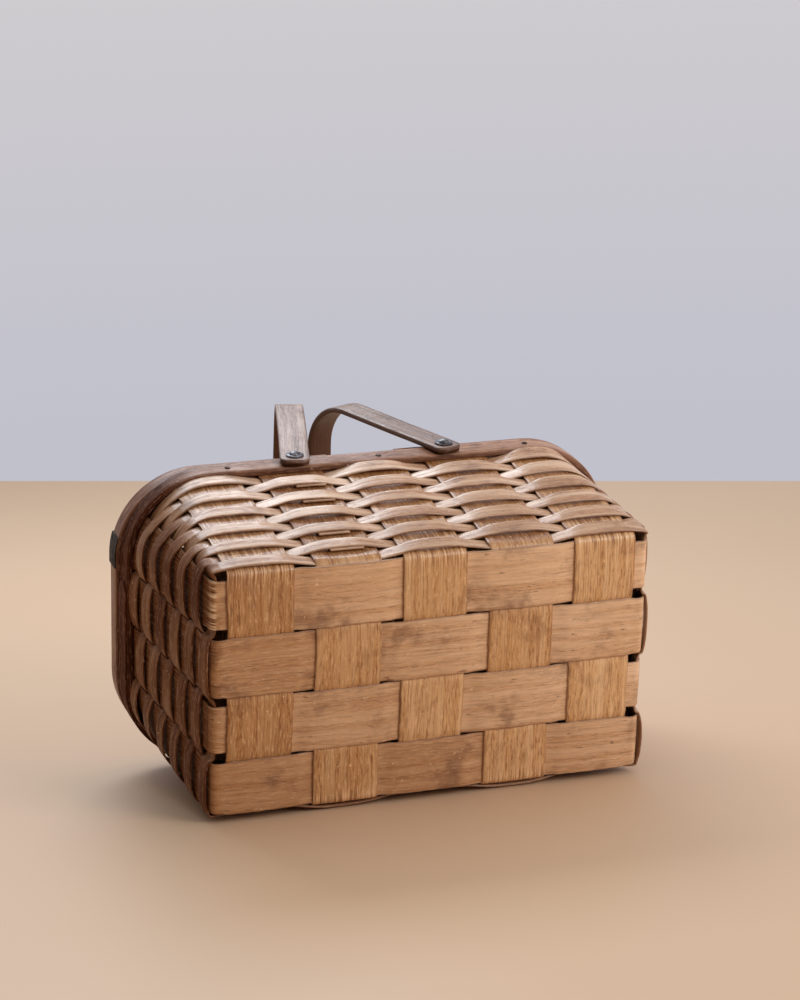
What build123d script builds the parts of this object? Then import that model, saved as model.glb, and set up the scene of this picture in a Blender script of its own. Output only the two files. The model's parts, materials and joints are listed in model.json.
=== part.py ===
from build123d import *
from math import atan2, cos, degrees, radians, sin, sqrt
import os

os.makedirs("parts", exist_ok=True)

# A splint picnic basket with two swing handles and two hinged lid flaps.
# It is modelled standing on its base: X along its length, Y across, Z up.
# At the end the whole basket is laid on its long side, as it is photographed.
# All sizes are in millimetres.

# Base and rim, outside
base_length = 356.0
base_width = 204.0
rim_length = 416.0
rim_width = 251.6
rim_corner = 75.0
base_corner = 1.0

# Splints that form the base and turn up the walls
stake_thickness = 1.6
cross_stakes = 5
cross_stake_gap = 17.0
cross_end_gap = 11.5
long_stakes = 4
long_stake_gap = 4.0
long_side_gap = 2.0
long_top_gap = 35.8
turn_slope = 3.2
bend_inside = 1.4
bend_top = 6.0

# Weavers, the narrow splints that go round the walls
weaver_rows = 11
weaver_height = 12.5
weaver_thickness = 1.8
weaver_pitch = 14.3
weaver_clearance = 0.1
first_row_gap = 0.05
cross_bulge = 2.7
long_bulge = 2.3
corner_bulge = 3.7

# Rim hoops
hoop_height = 18.0
outer_hoop_thickness = 5.5
inner_hoop_thickness = 4.0
hoop_gap = 0.1
rim_gap = 0.25
nail_width = 2.6
nail_depth = 4.0
nail_stand = 0.6
nail_fit = 0.05
rim_nail_inset = 80.0
rim_nail_y = 34.0

# Swing handles, one strap of bent wood each
strap_width = 24.0
strap_thickness = 4.5
strap_reach = 164.5
strap_corner = 53.0
strap_tail = 12.0
strap_tail_chamfer = 5.0
pivot_x = 64.0
left_lean = 13.9
right_lean = 22.3
strap_gap = 0.3

# Rivets that the handles swing on
rivet_radius = 2.4
rivet_fit = 0.05
rivet_head_radius = 4.4
rivet_head_height = 2.2
rivet_burr_height = 1.4
washer_radius = 7.4
washer_thickness = 1.2
washer_play = 0.1

# Fixed board across the middle of the opening
board_width = 56.0
board_thickness = 8.0
board_inset = 3.0
board_corner = 4.0
board_nail_x = 18.0
board_nail_width = 2.2
board_nail_depth = 7.0

# Lid flaps
flap_end_overhang = 3.0
flap_side_inset = 5.8
flap_corner = 70.0
flap_hoop_height = 18.0
flap_hoop_thickness = 5.0
flap_ledge_thickness = 3.0
flap_rest_gap = 0.3
flap_hinge_gap = 1.5
hinge_bar_width = 22.5
bar_end_gap = 0.1
flap_cross_splints = 3
flap_cross_margin = 7.5
flap_long_splints = 4
flap_long_margin = 9.5
flap_splint_space = 5.0
flap_splint_gap = 0.2
splint_seat = 8.0
flap_nail_width = 2.2
flap_nail_depth = 12.0
flap_nail_edge = 6.0

# Hinges of the flaps
hinge_inset = 58.0
hinge_length = 30.0
hinge_leaf = 12.5
hinge_plate = 1.0
knuckle_radius = 2.2
pin_radius = 1.1
pin_fit = 0.05
knuckle_play = 0.3
knuckle_lift = 0.1

# Sheet-metal clip on the left flap's hoop
clip_y = 56.0
clip_width = 26.0
clip_thickness = 0.7
clip_lap = 7.0
clip_gap = 0.1

# Heights and places that follow from the sizes above
cross_stake_pitch = (base_length - 2 * cross_end_gap + cross_stake_gap) / cross_stakes
cross_stake_width = cross_stake_pitch - cross_stake_gap
long_stake_pitch = (base_width - 2 * long_side_gap + long_stake_gap) / long_stakes
long_stake_width = long_stake_pitch - long_stake_gap
long_stake_top_pitch = (rim_width - 2 * long_top_gap + long_stake_gap) / long_stakes
long_stake_top_width = long_stake_top_pitch - long_stake_gap
splint_layers = 2 * stake_thickness
row_one = splint_layers + first_row_gap + weaver_height / 2
rim_low = row_one + (weaver_rows - 1) * weaver_pitch + weaver_height / 2 + rim_gap
rim_top = rim_low + hoop_height
pivot_z = rim_low + hoop_height / 2
hoop_offset = stake_thickness / 2 + hoop_gap
wall_top_length = rim_length / 2 - outer_hoop_thickness - hoop_offset
wall_top_width = rim_width / 2 - outer_hoop_thickness - hoop_offset
wall_top_corner = rim_corner - outer_hoop_thickness - hoop_offset
strap_inside = rim_width / 2 + strap_gap
strap_outside = strap_inside + strap_thickness
edge_offset = (stake_thickness + weaver_thickness) / 2 + weaver_clearance
board_top = rim_top + board_thickness
flap_low = rim_top + flap_rest_gap
flap_edge = board_width / 2 + flap_hinge_gap
flap_end = rim_length / 2 + flap_end_overhang
flap_side = rim_width / 2 - flap_side_inset
hinge_x = board_width / 2 + flap_hinge_gap / 2
hinge_y = flap_side - hinge_inset
hinge_z = board_top + knuckle_radius + knuckle_lift
flap_top = flap_low + flap_hoop_height


def between(low, high, share):
    """The value that lies a given share of the way from low to high."""
    return low + (high - low) * share


def wall_half_length(z):
    return between(base_length / 2 - stake_thickness / 2, wall_top_length, z / rim_top)


def wall_half_width(z):
    return between(base_width / 2 - stake_thickness / 2, wall_top_width, z / rim_top)


def wall_corner(z):
    return between(base_corner, wall_top_corner, max(z - bend_top, 0.0) / (rim_top - bend_top))


def on_long_wall(x, side, z):
    """Point and outward normal of the long wall's middle surface at x."""
    radius = wall_corner(z)
    straight = wall_half_length(z) - radius
    past = max(abs(x) - straight, 0.0)
    rise = sqrt(radius**2 - past**2)
    lean = past if x > 0 else -past
    point = Vector(x, side * (wall_half_width(z) - radius + rise), z)
    return point, Vector(lean / radius, side * rise / radius, 0)


def on_short_wall(y, side, z):
    """Point and outward normal of the short wall's middle surface at y."""
    radius = wall_corner(z)
    straight = wall_half_width(z) - radius
    past = max(abs(y) - straight, 0.0)
    rise = sqrt(radius**2 - past**2)
    lean = past if y > 0 else -past
    point = Vector(side * (wall_half_length(z) - radius + rise), y, z)
    return point, Vector(side * rise / radius, lean / radius, 0)


def on_corner(side_x, side_y, z, before, after):
    """Point and outward normal on a wall corner, halfway between two other normals."""
    radius = wall_corner(z)
    normal = (before + after).normalized()
    centre = Vector(side_x * (wall_half_length(z) - radius), side_y * (wall_half_width(z) - radius), z)
    return centre + normal * radius, normal


def cross_x(number):
    """Middle of a cross stake, numbered from the left."""
    return (number - (cross_stakes + 1) / 2) * cross_stake_pitch


def long_y(number, share=0.0):
    """Middle of a long stake, numbered from the front, at a share of the wall's height."""
    pitch = between(long_stake_pitch, long_stake_top_pitch, share)
    return (number - (long_stakes + 1) / 2) * pitch


def long_width(share):
    return between(long_stake_width, long_stake_top_width, share)


def thickened(path, thickness):
    """Outline of a strip that follows a path of flat stretches, square at both ends."""
    outline = []
    for side in (1, -1):
        points = []
        for index, point in enumerate(path):
            steps = []
            if index > 0:
                steps.append((point - path[index - 1]).normalized())
            if index < len(path) - 1:
                steps.append((path[index + 1] - point).normalized())
            normals = [Vector(-step.Y, step.X) for step in steps]
            mitre = (normals[0] + normals[-1]).normalized()
            points.append(point + mitre * (side * thickness / 2 / mitre.dot(normals[0])))
        outline += points[::side]
    return outline


def woven_path(crossings, levels, slope):
    """Flat stretches under and over the crossing splints, joined by short slopes in the gaps."""
    path = []
    for index, (middle, level) in enumerate(zip(crossings, levels)):
        if index > 0:
            gap_middle = (middle + crossings[index - 1]) / 2
            if level != levels[index - 1]:
                path.append(Vector(gap_middle - slope / 2, levels[index - 1]))
                path.append(Vector(gap_middle + slope / 2, level))
    return path


def finish(piece, name):
    """Keep a finished piece under its node name."""
    piece.label = name
    pieces[name] = piece


pieces = {}


# The wall that all stakes follow
def wall_shell(low, high, inside, outside):
    """A flared ring between two heights, from one offset of the middle surface to another."""
    with BuildPart() as shell:
        for z in (low, high):
            with BuildSketch(Plane.XY.offset(z)):
                RectangleRounded(
                    2 * (wall_half_length(z) + outside),
                    2 * (wall_half_width(z) + outside),
                    wall_corner(z) + outside,
                )
        loft(ruled=True)
        for z in (low, high):
            with BuildSketch(Plane.XY.offset(z)):
                RectangleRounded(
                    2 * (wall_half_length(z) + inside),
                    2 * (wall_half_width(z) + inside),
                    wall_corner(z) + inside,
                )
        loft(ruled=True, mode=Mode.SUBTRACT)
    return shell.part


stake_shell = wall_shell(bend_top, rim_top, -stake_thickness / 2, stake_thickness / 2)
outer_level = stake_thickness / 2
inner_level = 3 * stake_thickness / 2


def crossing_level(cross_number, long_number, is_cross):
    """Level of a splint where it crosses another: the two take opposite levels, in turn."""
    cross_is_outside = (cross_number + long_number) % 2 == 0
    return outer_level if cross_is_outside == is_cross else inner_level


def base_strip_path(crossings, levels, half_span, slope):
    """Path of a stake across the base, with a short stub of each wall."""
    start = [Vector(-half_span(bend_top), bend_top), Vector(-half_span(levels[0]), levels[0])]
    end = [Vector(half_span(levels[-1]), levels[-1]), Vector(half_span(bend_top), bend_top)]
    return start + woven_path(crossings, levels, slope) + end


def rounded_bends(profile, beyond):
    """Round the two bends where a stake turns up the walls, first inside, then outside."""
    for group, radius in ((-1, bend_inside), (0, bend_inside + stake_thickness)):
        bends = profile.vertices().filter_by(
            lambda v: abs(v.X) > beyond and v.Y < bend_top - stake_thickness / 2
        )
        fillet(bends.group_by(Axis.Y)[group], radius)


# Cross stakes: over and under the long stakes, then up both long walls
def cross_stake(number):
    numbers = range(1, long_stakes + 1)
    crossings = [long_y(n) for n in numbers]
    levels = [crossing_level(number, n, True) for n in numbers]
    path = base_strip_path(crossings, levels, wall_half_width, turn_slope)
    middle = cross_x(number)
    walls = stake_shell & Pos(middle, 0, rim_top / 2) * Box(cross_stake_width, 2 * rim_width, 2 * rim_top)
    with BuildPart() as stake:
        with BuildSketch(Plane.YZ.offset(middle)) as profile:
            with BuildLine():
                Polyline(*thickened(path, stake_thickness), close=True)
            make_face()
            rounded_bends(profile, wall_half_width(0) - bend_top)
        extrude(amount=cross_stake_width / 2, both=True)
        add(walls)
        if abs(abs(middle) - pivot_x) < cross_stake_width / 2:
            with Locations(Plane(origin=(pivot_x if middle > 0 else -pivot_x, 0, pivot_z), z_dir=(0, 1, 0))):
                Cylinder(rivet_radius + rivet_fit, 2 * rim_width, mode=Mode.SUBTRACT)
    return stake.part


for number in range(1, cross_stakes + 1):
    finish(cross_stake(number), f"cross_stake_{number}")


# Long stakes: under and over the cross stakes, then up both short walls
def long_stake(number):
    numbers = range(1, cross_stakes + 1)
    crossings = [cross_x(n) for n in numbers]
    levels = [crossing_level(n, number, False) for n in numbers]
    slope = (cross_stake_pitch - cross_stake_width) / 2
    path = base_strip_path(crossings, levels, wall_half_length, slope)
    with BuildPart() as taper:
        for z, share in ((bend_top, 0.0), (rim_top, 1.0)):
            with BuildSketch(Plane.XY.offset(z)):
                with Locations((0, long_y(number, share))):
                    Rectangle(2 * rim_length, long_width(share))
        loft(ruled=True)
    with BuildPart() as stake:
        with BuildSketch(Plane.XZ.offset(-long_y(number))) as profile:
            with BuildLine():
                Polyline(*thickened(path, stake_thickness), close=True)
            make_face()
            rounded_bends(profile, wall_half_length(0) - bend_top)
        extrude(amount=long_stake_width / 2, both=True)
        add(stake_shell & taper.part)
    return stake.part


for number in range(1, long_stakes + 1):
    finish(long_stake(number), f"long_stake_{number}")


# Weavers: each row is one closed splint that passes outside every other stake
def stations(z):
    """The stakes in their order round the wall: entry edge, middle and exit edge of each."""
    share = (z - bend_top) / (rim_top - bend_top)
    half = cross_stake_width / 2
    half_long = long_width(share) / 2
    stops = []
    for side in (-1, 1):
        for n in range(1, cross_stakes + 1):
            middle = -side * cross_x(n)
            places = (middle + side * half, middle, middle - side * half)
            stops.append([on_long_wall(x, side, z) for x in places])
        for n in range(1, long_stakes + 1):
            middle = -side * long_y(n, share)
            places = (middle + side * half_long, middle, middle - side * half_long)
            stops.append([on_short_wall(y, -side, z) for y in places])
    return stops


def draw_weaver(row, z, skin):
    """Closed outline of one face of a weaver at height z, skin off its middle."""
    stops = stations(z)
    arcs = []
    for index, stop in enumerate(stops):
        side = 1 if (index + row) % 2 == 1 else -1
        place = index % (cross_stakes + long_stakes)
        bulge = cross_bulge if place < cross_stakes else long_bulge
        if side == 1 and place in (cross_stakes, cross_stakes + long_stakes - 1):
            bulge = corner_bulge
        offsets = [side * edge_offset, side * (edge_offset + bulge), side * edge_offset]
        arcs.append([point + normal * (o + skin) for (point, normal), o in zip(stop, offsets)])
    corners = {
        cross_stakes - 1: (1, -1),
        cross_stakes + long_stakes - 1: (1, 1),
        2 * cross_stakes + long_stakes - 1: (-1, 1),
        2 * (cross_stakes + long_stakes) - 1: (-1, -1),
    }
    for index, arc in enumerate(arcs):
        coming = (index + 1) % len(arcs)
        ThreePointArc(*arc)
        if index in corners:
            point, normal = on_corner(*corners[index], z, stops[index][2][1], stops[coming][0][1])
            ThreePointArc(arc[2], point + normal * skin, arcs[coming][0])
        else:
            Line(arc[2], arcs[coming][0])


def weaver(row):
    middle = row_one + (row - 1) * weaver_pitch
    edges = (middle - weaver_height / 2, middle + weaver_height / 2)
    with BuildPart() as band:
        for skin, mode in ((weaver_thickness / 2, Mode.ADD), (-weaver_thickness / 2, Mode.SUBTRACT)):
            for z in edges:
                with BuildSketch(Plane.XY.offset(z)):
                    with BuildLine():
                        draw_weaver(row, z, skin)
                    make_face()
            loft(ruled=True, mode=mode)
    return band.part


for row in range(1, weaver_rows + 1):
    finish(weaver(row), f"weaver_{row:02d}")


# Rim: an outer and an inner bent-wood hoop clamp the tops of the stakes
outer_face = hoop_offset + outer_hoop_thickness
inner_face = hoop_offset + inner_hoop_thickness


def rim_nail_planes():
    """One plane at the bottom of each nail's hole, facing out of the rim."""
    spots = []
    for side in (-1, 1):
        for x in (rim_nail_inset - rim_length / 2, 0.0, rim_length / 2 - rim_nail_inset):
            spots.append(on_long_wall(x, side, pivot_z))
        for y in (-rim_nail_y, rim_nail_y):
            spots.append(on_short_wall(y, side, pivot_z))
    return [Plane(origin=p + n * (outer_face - nail_depth), z_dir=n) for p, n in spots]


def cut_nail(width, length, mode=Mode.ADD):
    """A square nail shank that stands on the current place."""
    Box(width, width, length, align=(Align.CENTER, Align.CENTER, Align.MIN), mode=mode)


def pivot_planes():
    """One plane at each handle pivot, in the basket's middle, facing the pivot's end."""
    return [
        Plane(origin=(x, 0, pivot_z), x_dir=(1, 0, 0), z_dir=(0, side, 0))
        for x in (-pivot_x, pivot_x)
        for side in (-1, 1)
    ]


with BuildPart() as rim_outer_hoop:
    add(wall_shell(rim_low, rim_top, hoop_offset, outer_face))
    with Locations(*rim_nail_planes()):
        cut_nail(nail_width + 2 * nail_fit, 2 * nail_depth, Mode.SUBTRACT)
    with Locations(*pivot_planes()):
        Cylinder(
            rivet_radius + rivet_fit,
            rim_width,
            align=(Align.CENTER, Align.CENTER, Align.MIN),
            mode=Mode.SUBTRACT,
        )
finish(rim_outer_hoop.part, "rim_outer_hoop")


def board_nail_planes():
    """One plane at the foot of each nail that holds the middle board on the inner hoop."""
    y = wall_top_width - hoop_offset - inner_hoop_thickness / 2
    return [
        Plane(origin=(x, side * y, rim_top - board_nail_depth))
        for x in (-board_nail_x, board_nail_x)
        for side in (-1, 1)
    ]


def drill_board_nails():
    with Locations(*board_nail_planes()):
        cut_nail(board_nail_width + 2 * nail_fit, 2 * board_thickness + board_nail_depth, Mode.SUBTRACT)


with BuildPart() as rim_inner_hoop:
    add(wall_shell(rim_low, rim_top, -inner_face, -hoop_offset))
    with Locations(*pivot_planes()):
        Cylinder(
            rivet_radius + rivet_fit,
            rim_width,
            align=(Align.CENTER, Align.CENTER, Align.MIN),
            mode=Mode.SUBTRACT,
        )
    drill_board_nails()
finish(rim_inner_hoop.part, "rim_inner_hoop")

with BuildPart() as rim_nails:
    with Locations(*rim_nail_planes()):
        cut_nail(nail_width, nail_depth + nail_stand)
finish(rim_nails.part, "rim_nails")


# Middle board, fixed across the opening between the two flaps
with BuildPart() as middle_board:
    with BuildSketch(Plane.XY.offset(rim_top)):
        RectangleRounded(board_width, rim_width - 2 * board_inset, board_corner)
    extrude(amount=board_thickness)
    drill_board_nails()
finish(middle_board.part, "middle_board")

with BuildPart() as board_nails:
    with Locations(*board_nail_planes()):
        cut_nail(board_nail_width, board_nail_depth + board_thickness + nail_stand)
finish(board_nails.part, "board_nails")


# Swing handles: one bent strap each, on rivets through the rim
def handle(side, lean):
    """A handle on the side's pivots, leaning its angle towards the middle."""
    tilt = radians(lean)
    strap_plane = Plane(
        origin=(side * pivot_x, 0, pivot_z),
        x_dir=(0, 1, 0),
        z_dir=(cos(tilt), 0, side * sin(tilt)),
    )
    with BuildPart() as strap:
        with BuildSketch(strap_plane):
            with BuildLine():
                for half, top in ((strap_outside, strap_reach), (strap_inside, strap_reach - strap_thickness)):
                    FilletPolyline(
                        (half, -strap_tail),
                        (half, top),
                        (-half, top),
                        (-half, -strap_tail),
                        radius=strap_corner - (strap_outside - half),
                    )
                for end in (-1, 1):
                    Line((end * strap_inside, -strap_tail), (end * strap_outside, -strap_tail))
            make_face()
        extrude(amount=strap_width / 2, both=True)
        tail_edges = strap.edges().filter_by(Axis.Y).filter_by(lambda e: e.length < 2 * strap_thickness)
        chamfer(tail_edges, strap_tail_chamfer)
        with Locations(*pivot_planes()):
            Cylinder(
                rivet_radius + rivet_fit,
                rim_width,
                align=(Align.CENTER, Align.CENTER, Align.MIN),
                mode=Mode.SUBTRACT,
            )
    return strap.part


finish(handle(-1, left_lean), "left_handle_strap")
finish(handle(1, right_lean), "right_handle_strap")

# Handle rivets: a shank through rim and strap, a burr inside and a domed head on the washer
burr_seat = wall_half_width(pivot_z - rivet_head_radius) - inner_face
washer_seat = strap_outside + washer_play
head_seat = washer_seat + washer_thickness

with BuildPart() as rivet:
    with BuildSketch(Plane.XZ):
        with BuildLine():
            Polyline(
                (rivet_head_radius, head_seat),
                (rivet_radius, head_seat),
                (rivet_radius, burr_seat),
                (rivet_head_radius, burr_seat),
                (rivet_head_radius, burr_seat - rivet_burr_height),
                (0, burr_seat - rivet_burr_height),
                (0, head_seat + rivet_head_height),
            )
            RadiusArc(
                (0, head_seat + rivet_head_height),
                (rivet_head_radius, head_seat),
                (rivet_head_radius**2 + rivet_head_height**2) / (2 * rivet_head_height),
            )
        make_face()
    revolve(axis=Axis.Z)

with BuildPart() as handle_rivets:
    with Locations(*pivot_planes()):
        add(rivet.part)
finish(handle_rivets.part, "handle_rivets")

with BuildPart() as handle_washers:
    for plane in pivot_planes():
        with BuildSketch(plane.offset(washer_seat)):
            Circle(washer_radius)
            Circle(rivet_radius + rivet_fit, mode=Mode.SUBTRACT)
    extrude(amount=washer_thickness)
finish(handle_washers.part, "handle_washers")


# Lid flaps: a U-shaped hoop, a hinge bar, a ledge inside the hoop and a woven panel
def flap_outline(inside, mode=Mode.ADD):
    """Area inside the flap's hoop outline, drawn in by a distance."""
    length = 2 * (flap_end - inside)
    width = 2 * (flap_side - inside)
    RectangleRounded(length, width, flap_corner - inside, mode=mode)


def cut_before(x):
    """Cut the drawn area back to what lies beyond x."""
    with Locations((x, 0)):
        Rectangle(2 * rim_length, 2 * rim_width, align=(Align.MAX, Align.CENTER), mode=Mode.SUBTRACT)


flap_nail_z = (flap_low + board_top) / 2
bar_far_edge = flap_edge + hinge_bar_width
bar_half = flap_side - flap_hoop_thickness - bar_end_gap
ledge_outside = flap_hoop_thickness + bar_end_gap


def flap_nail_planes():
    """One plane at the mouth of each nail hole in the hoop's legs, facing in."""
    return [
        Plane(origin=(flap_edge + x, side * (flap_side + nail_stand), flap_nail_z), z_dir=(0, -side, 0))
        for x in (flap_nail_edge, hinge_bar_width - flap_nail_edge)
        for side in (-1, 1)
    ]


def drill_flap_nails():
    with Locations(*flap_nail_planes()):
        cut_nail(flap_nail_width + 2 * nail_fit, flap_nail_depth, Mode.SUBTRACT)


with BuildPart() as flap_hoop:
    with BuildSketch(Plane.XY.offset(flap_low)):
        flap_outline(0)
        flap_outline(flap_hoop_thickness, Mode.SUBTRACT)
        cut_before(flap_edge)
    extrude(amount=flap_hoop_height)
    drill_flap_nails()

with BuildPart() as flap_bar:
    with BuildSketch(Plane.XY.offset(flap_low)):
        with Locations(((flap_edge + bar_far_edge) / 2, 0)):
            Rectangle(hinge_bar_width, 2 * bar_half)
    extrude(amount=board_top - flap_low)
    drill_flap_nails()

with BuildPart() as flap_nails:
    with Locations(*flap_nail_planes()):
        cut_nail(flap_nail_width, flap_nail_depth)

with BuildPart() as flap_ledge:
    with BuildSketch(Plane.XY.offset(flap_low)):
        flap_outline(ledge_outside)
        flap_outline(ledge_outside + flap_ledge_thickness, Mode.SUBTRACT)
        cut_before(bar_far_edge)
    extrude(amount=board_top - flap_low)

with BuildPart() as panel_space:
    with BuildSketch(Plane.XY.offset(board_top)):
        flap_outline(flap_hoop_thickness + flap_splint_gap)
        cut_before(bar_far_edge - splint_seat)
    extrude(amount=splint_layers)

panel_end = flap_end - flap_hoop_thickness
panel_middle = (bar_far_edge + panel_end) / 2
panel_length = panel_end - bar_far_edge - 2 * flap_cross_margin
panel_width = 2 * (flap_side - flap_hoop_thickness - flap_long_margin)
flap_cross_pitch = (panel_length + flap_splint_space) / flap_cross_splints
flap_long_pitch = (panel_width + flap_splint_space) / flap_long_splints
flap_cross_width = flap_cross_pitch - flap_splint_space
flap_long_width = flap_long_pitch - flap_splint_space
low_level = board_top + stake_thickness / 2
high_level = low_level + stake_thickness


def spread(count, pitch):
    """Places that lie a pitch apart, evenly about the middle."""
    return [(n - (count - 1) / 2) * pitch for n in range(count)]


flap_xs = [panel_middle + x for x in spread(flap_cross_splints, flap_cross_pitch)]
flap_ys = spread(flap_long_splints, flap_long_pitch)


def flap_level(cross_number, long_number, is_cross):
    """Level of a panel splint where it crosses another, in turn."""
    cross_is_high = (cross_number + long_number) % 2 == 0
    return high_level if cross_is_high == is_cross else low_level


def panel_splint(plane, path, width):
    """A flat woven splint drawn on a plane through its middle, cut to the panel."""
    with BuildPart() as splint:
        with BuildSketch(plane):
            with BuildLine():
                Polyline(*thickened(path, stake_thickness), close=True)
            make_face()
        extrude(amount=width / 2, both=True)
        add(panel_space.part, mode=Mode.INTERSECT)
    return splint.part


def flap_cross_splint(number):
    levels = [flap_level(number, n, True) for n in range(flap_long_splints)]
    ends = [Vector(-flap_side, levels[0]), Vector(flap_side, levels[-1])]
    path = [ends[0]] + woven_path(flap_ys, levels, turn_slope) + [ends[1]]
    return panel_splint(Plane.YZ.offset(flap_xs[number]), path, flap_cross_width)


def flap_long_splint(number):
    levels = [flap_level(n, number, False) for n in range(flap_cross_splints)]
    start_x = 2 * (bar_far_edge + stake_thickness) - flap_xs[0]
    path = [Vector(flap_edge, low_level)]
    path += woven_path([start_x] + flap_xs, [low_level] + levels, turn_slope)
    path += [Vector(flap_end, levels[-1])]
    return panel_splint(Plane.XZ.offset(-flap_ys[number]), path, flap_long_width)


# Hinges: leaves flat on the boards, two knuckles on a pin above the gap between them
knuckle_length = (hinge_length - knuckle_play) / 2
knuckle_step = (knuckle_length + knuckle_play) / 2
barrel = Plane(origin=(hinge_x, hinge_y, hinge_z), z_dir=(0, 1, 0))


def hinge_half(side):
    """A leaf of the hinge at hinge_y: side 1 lies on the flap, side -1 on the board."""
    own_y = hinge_y - side * knuckle_step
    other_y = hinge_y + side * knuckle_step
    with BuildPart() as leaf:
        with BuildSketch(Plane.XY.offset(board_top)):
            with Locations((hinge_x + side * hinge_leaf / 2, hinge_y)):
                Rectangle(hinge_leaf, hinge_length)
            with Locations((hinge_x, other_y)):
                Rectangle(
                    2 * (knuckle_radius + knuckle_play),
                    knuckle_length + 2 * knuckle_play,
                    mode=Mode.SUBTRACT,
                )
        extrude(amount=hinge_plate)
        with BuildSketch(Plane.XZ.offset(-own_y)):
            with Locations((hinge_x, hinge_z)):
                Circle(knuckle_radius)
        extrude(amount=knuckle_length / 2, both=True)
        with Locations(barrel):
            Cylinder(pin_radius + pin_fit, hinge_length, mode=Mode.SUBTRACT)
    return leaf.part


with BuildPart() as board_leaves:
    add(hinge_half(-1))
    mirror(about=Plane.XZ)
    mirror(about=Plane.YZ)
finish(board_leaves.part, "hinge_board_leaves")

with BuildPart() as flap_leaves:
    add(hinge_half(1))
    mirror(about=Plane.XZ)

with BuildPart() as hinge_pins:
    with Locations(barrel):
        Cylinder(pin_radius, hinge_length)
    mirror(about=Plane.XZ)
    mirror(about=Plane.YZ)
finish(hinge_pins.part, "hinge_pins")


# The two flaps are mirror images of each other
flap_pieces = {
    "lid_hoop": flap_hoop.part,
    "lid_bar": flap_bar.part,
    "lid_ledge": flap_ledge.part,
    "lid_nails": flap_nails.part,
    "lid_leaves": flap_leaves.part,
}
for number in range(flap_cross_splints):
    flap_pieces[f"lid_cross_splint_{number + 1}"] = flap_cross_splint(number)
for number in range(flap_long_splints):
    flap_pieces[f"lid_long_splint_{number + 1}"] = flap_long_splint(number)

for name, piece in flap_pieces.items():
    with BuildPart() as left_piece:
        mirror(piece, about=Plane.YZ)
    finish(left_piece.part, f"left_{name}")
    finish(piece, f"right_{name}")


# A folded sheet-metal clip over the left flap's hoop: outside, top and inside
clip_face = clip_gap + clip_thickness
clip_inside = flap_hoop_thickness + clip_gap
clip_top = flap_top + clip_gap
clip_walls = (
    (flap_low, clip_top, -clip_face, -clip_gap),
    (clip_top, clip_top + clip_thickness, -clip_face, flap_hoop_thickness + clip_face),
    (clip_top - clip_lap, clip_top, clip_inside, flap_hoop_thickness + clip_face),
)

with BuildPart() as clip:
    for low, high, outside, inside in clip_walls:
        with BuildSketch(Plane.XY.offset(low)):
            flap_outline(outside)
            flap_outline(inside, Mode.SUBTRACT)
        extrude(amount=high - low)
    with Locations((-flap_end, -clip_y, flap_low)):
        Box(flap_end, clip_width, 4 * flap_hoop_height, mode=Mode.INTERSECT)
finish(clip.part, "left_lid_clip")


# Lay the basket on its long side, on the rivet heads and the lowest bulges of the walls
foot = wall_half_width(row_one - weaver_height / 2) + edge_offset + cross_bulge + weaver_thickness / 2
heel = head_seat + rivet_head_height
slope_angle = degrees(atan2(heel - foot, pivot_z - row_one + weaver_height / 2))
laid_side = Location((0, 0, 0), (slope_angle - 90, 0, 0))
laid = {name: piece.moved(laid_side) for name, piece in pieces.items()}
whole = Compound(children=[piece.moved(Location()) for piece in laid.values()]).bounding_box()
to_origin = Location((-whole.center().X, -whole.center().Y, -whole.min.Z))
placing = to_origin * laid_side

for name, piece in pieces.items():
    placed = piece.moved(placing)
    placed.label = name
    export_step(placed, f"parts/{name}.step")


def placed_point(x, y, z):
    point = (placing * Location((x, y, z))).position
    return [round(value, 3) for value in (point.X, point.Y, point.Z)]


print("laid at", round(slope_angle, 3), "degrees")
print("left pivot", placed_point(-pivot_x, 0, pivot_z))
print("right pivot", placed_point(pivot_x, 0, pivot_z))
print("left hinge", placed_point(-hinge_x, 0, hinge_z))
print("right hinge", placed_point(hinge_x, 0, hinge_z))
print("middle of the base", placed_point(0, 0, 0))
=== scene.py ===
import json
import math

import bmesh
import bpy
import numpy as np
from mathutils import Matrix, Vector


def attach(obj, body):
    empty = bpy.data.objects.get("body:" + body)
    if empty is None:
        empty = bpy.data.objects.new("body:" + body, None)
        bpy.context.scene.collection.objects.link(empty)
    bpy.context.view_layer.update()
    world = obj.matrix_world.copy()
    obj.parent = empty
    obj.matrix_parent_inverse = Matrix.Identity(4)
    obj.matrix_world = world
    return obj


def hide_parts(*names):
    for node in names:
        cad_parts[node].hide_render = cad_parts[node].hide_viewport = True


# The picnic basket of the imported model, with its splints, hoops, straps and boards
# built again as detailed wood. All sizes are in metres. Shapes are worked out for the
# basket standing on its base (x along, y across, z up) and then laid down as it lies.

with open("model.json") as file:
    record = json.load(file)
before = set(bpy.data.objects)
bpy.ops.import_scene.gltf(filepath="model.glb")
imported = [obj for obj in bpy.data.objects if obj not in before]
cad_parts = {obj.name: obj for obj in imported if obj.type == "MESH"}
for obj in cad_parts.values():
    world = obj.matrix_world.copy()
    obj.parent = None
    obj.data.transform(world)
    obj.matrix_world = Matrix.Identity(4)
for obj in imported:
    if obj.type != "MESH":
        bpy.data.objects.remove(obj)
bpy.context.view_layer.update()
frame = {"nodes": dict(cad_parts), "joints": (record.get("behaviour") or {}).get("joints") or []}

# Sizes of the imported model. The splints' places, widths and bulges follow the photograph.
BASE_LENGTH, BASE_WIDTH = 0.356, 0.204
RIM_LENGTH, RIM_WIDTH, RIM_CORNER = 0.416, 0.2516, 0.075
BASE_CORNER = 0.001
STAKE, STAKE_LOW, STAKE_HIGH, STAKE_CUP = 0.0016, 0.0008, 0.0024, 0.00035
CROSS_COUNT, LONG_COUNT = 5, 4
HALF_ROUND = CROSS_COUNT + LONG_COUNT
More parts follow.
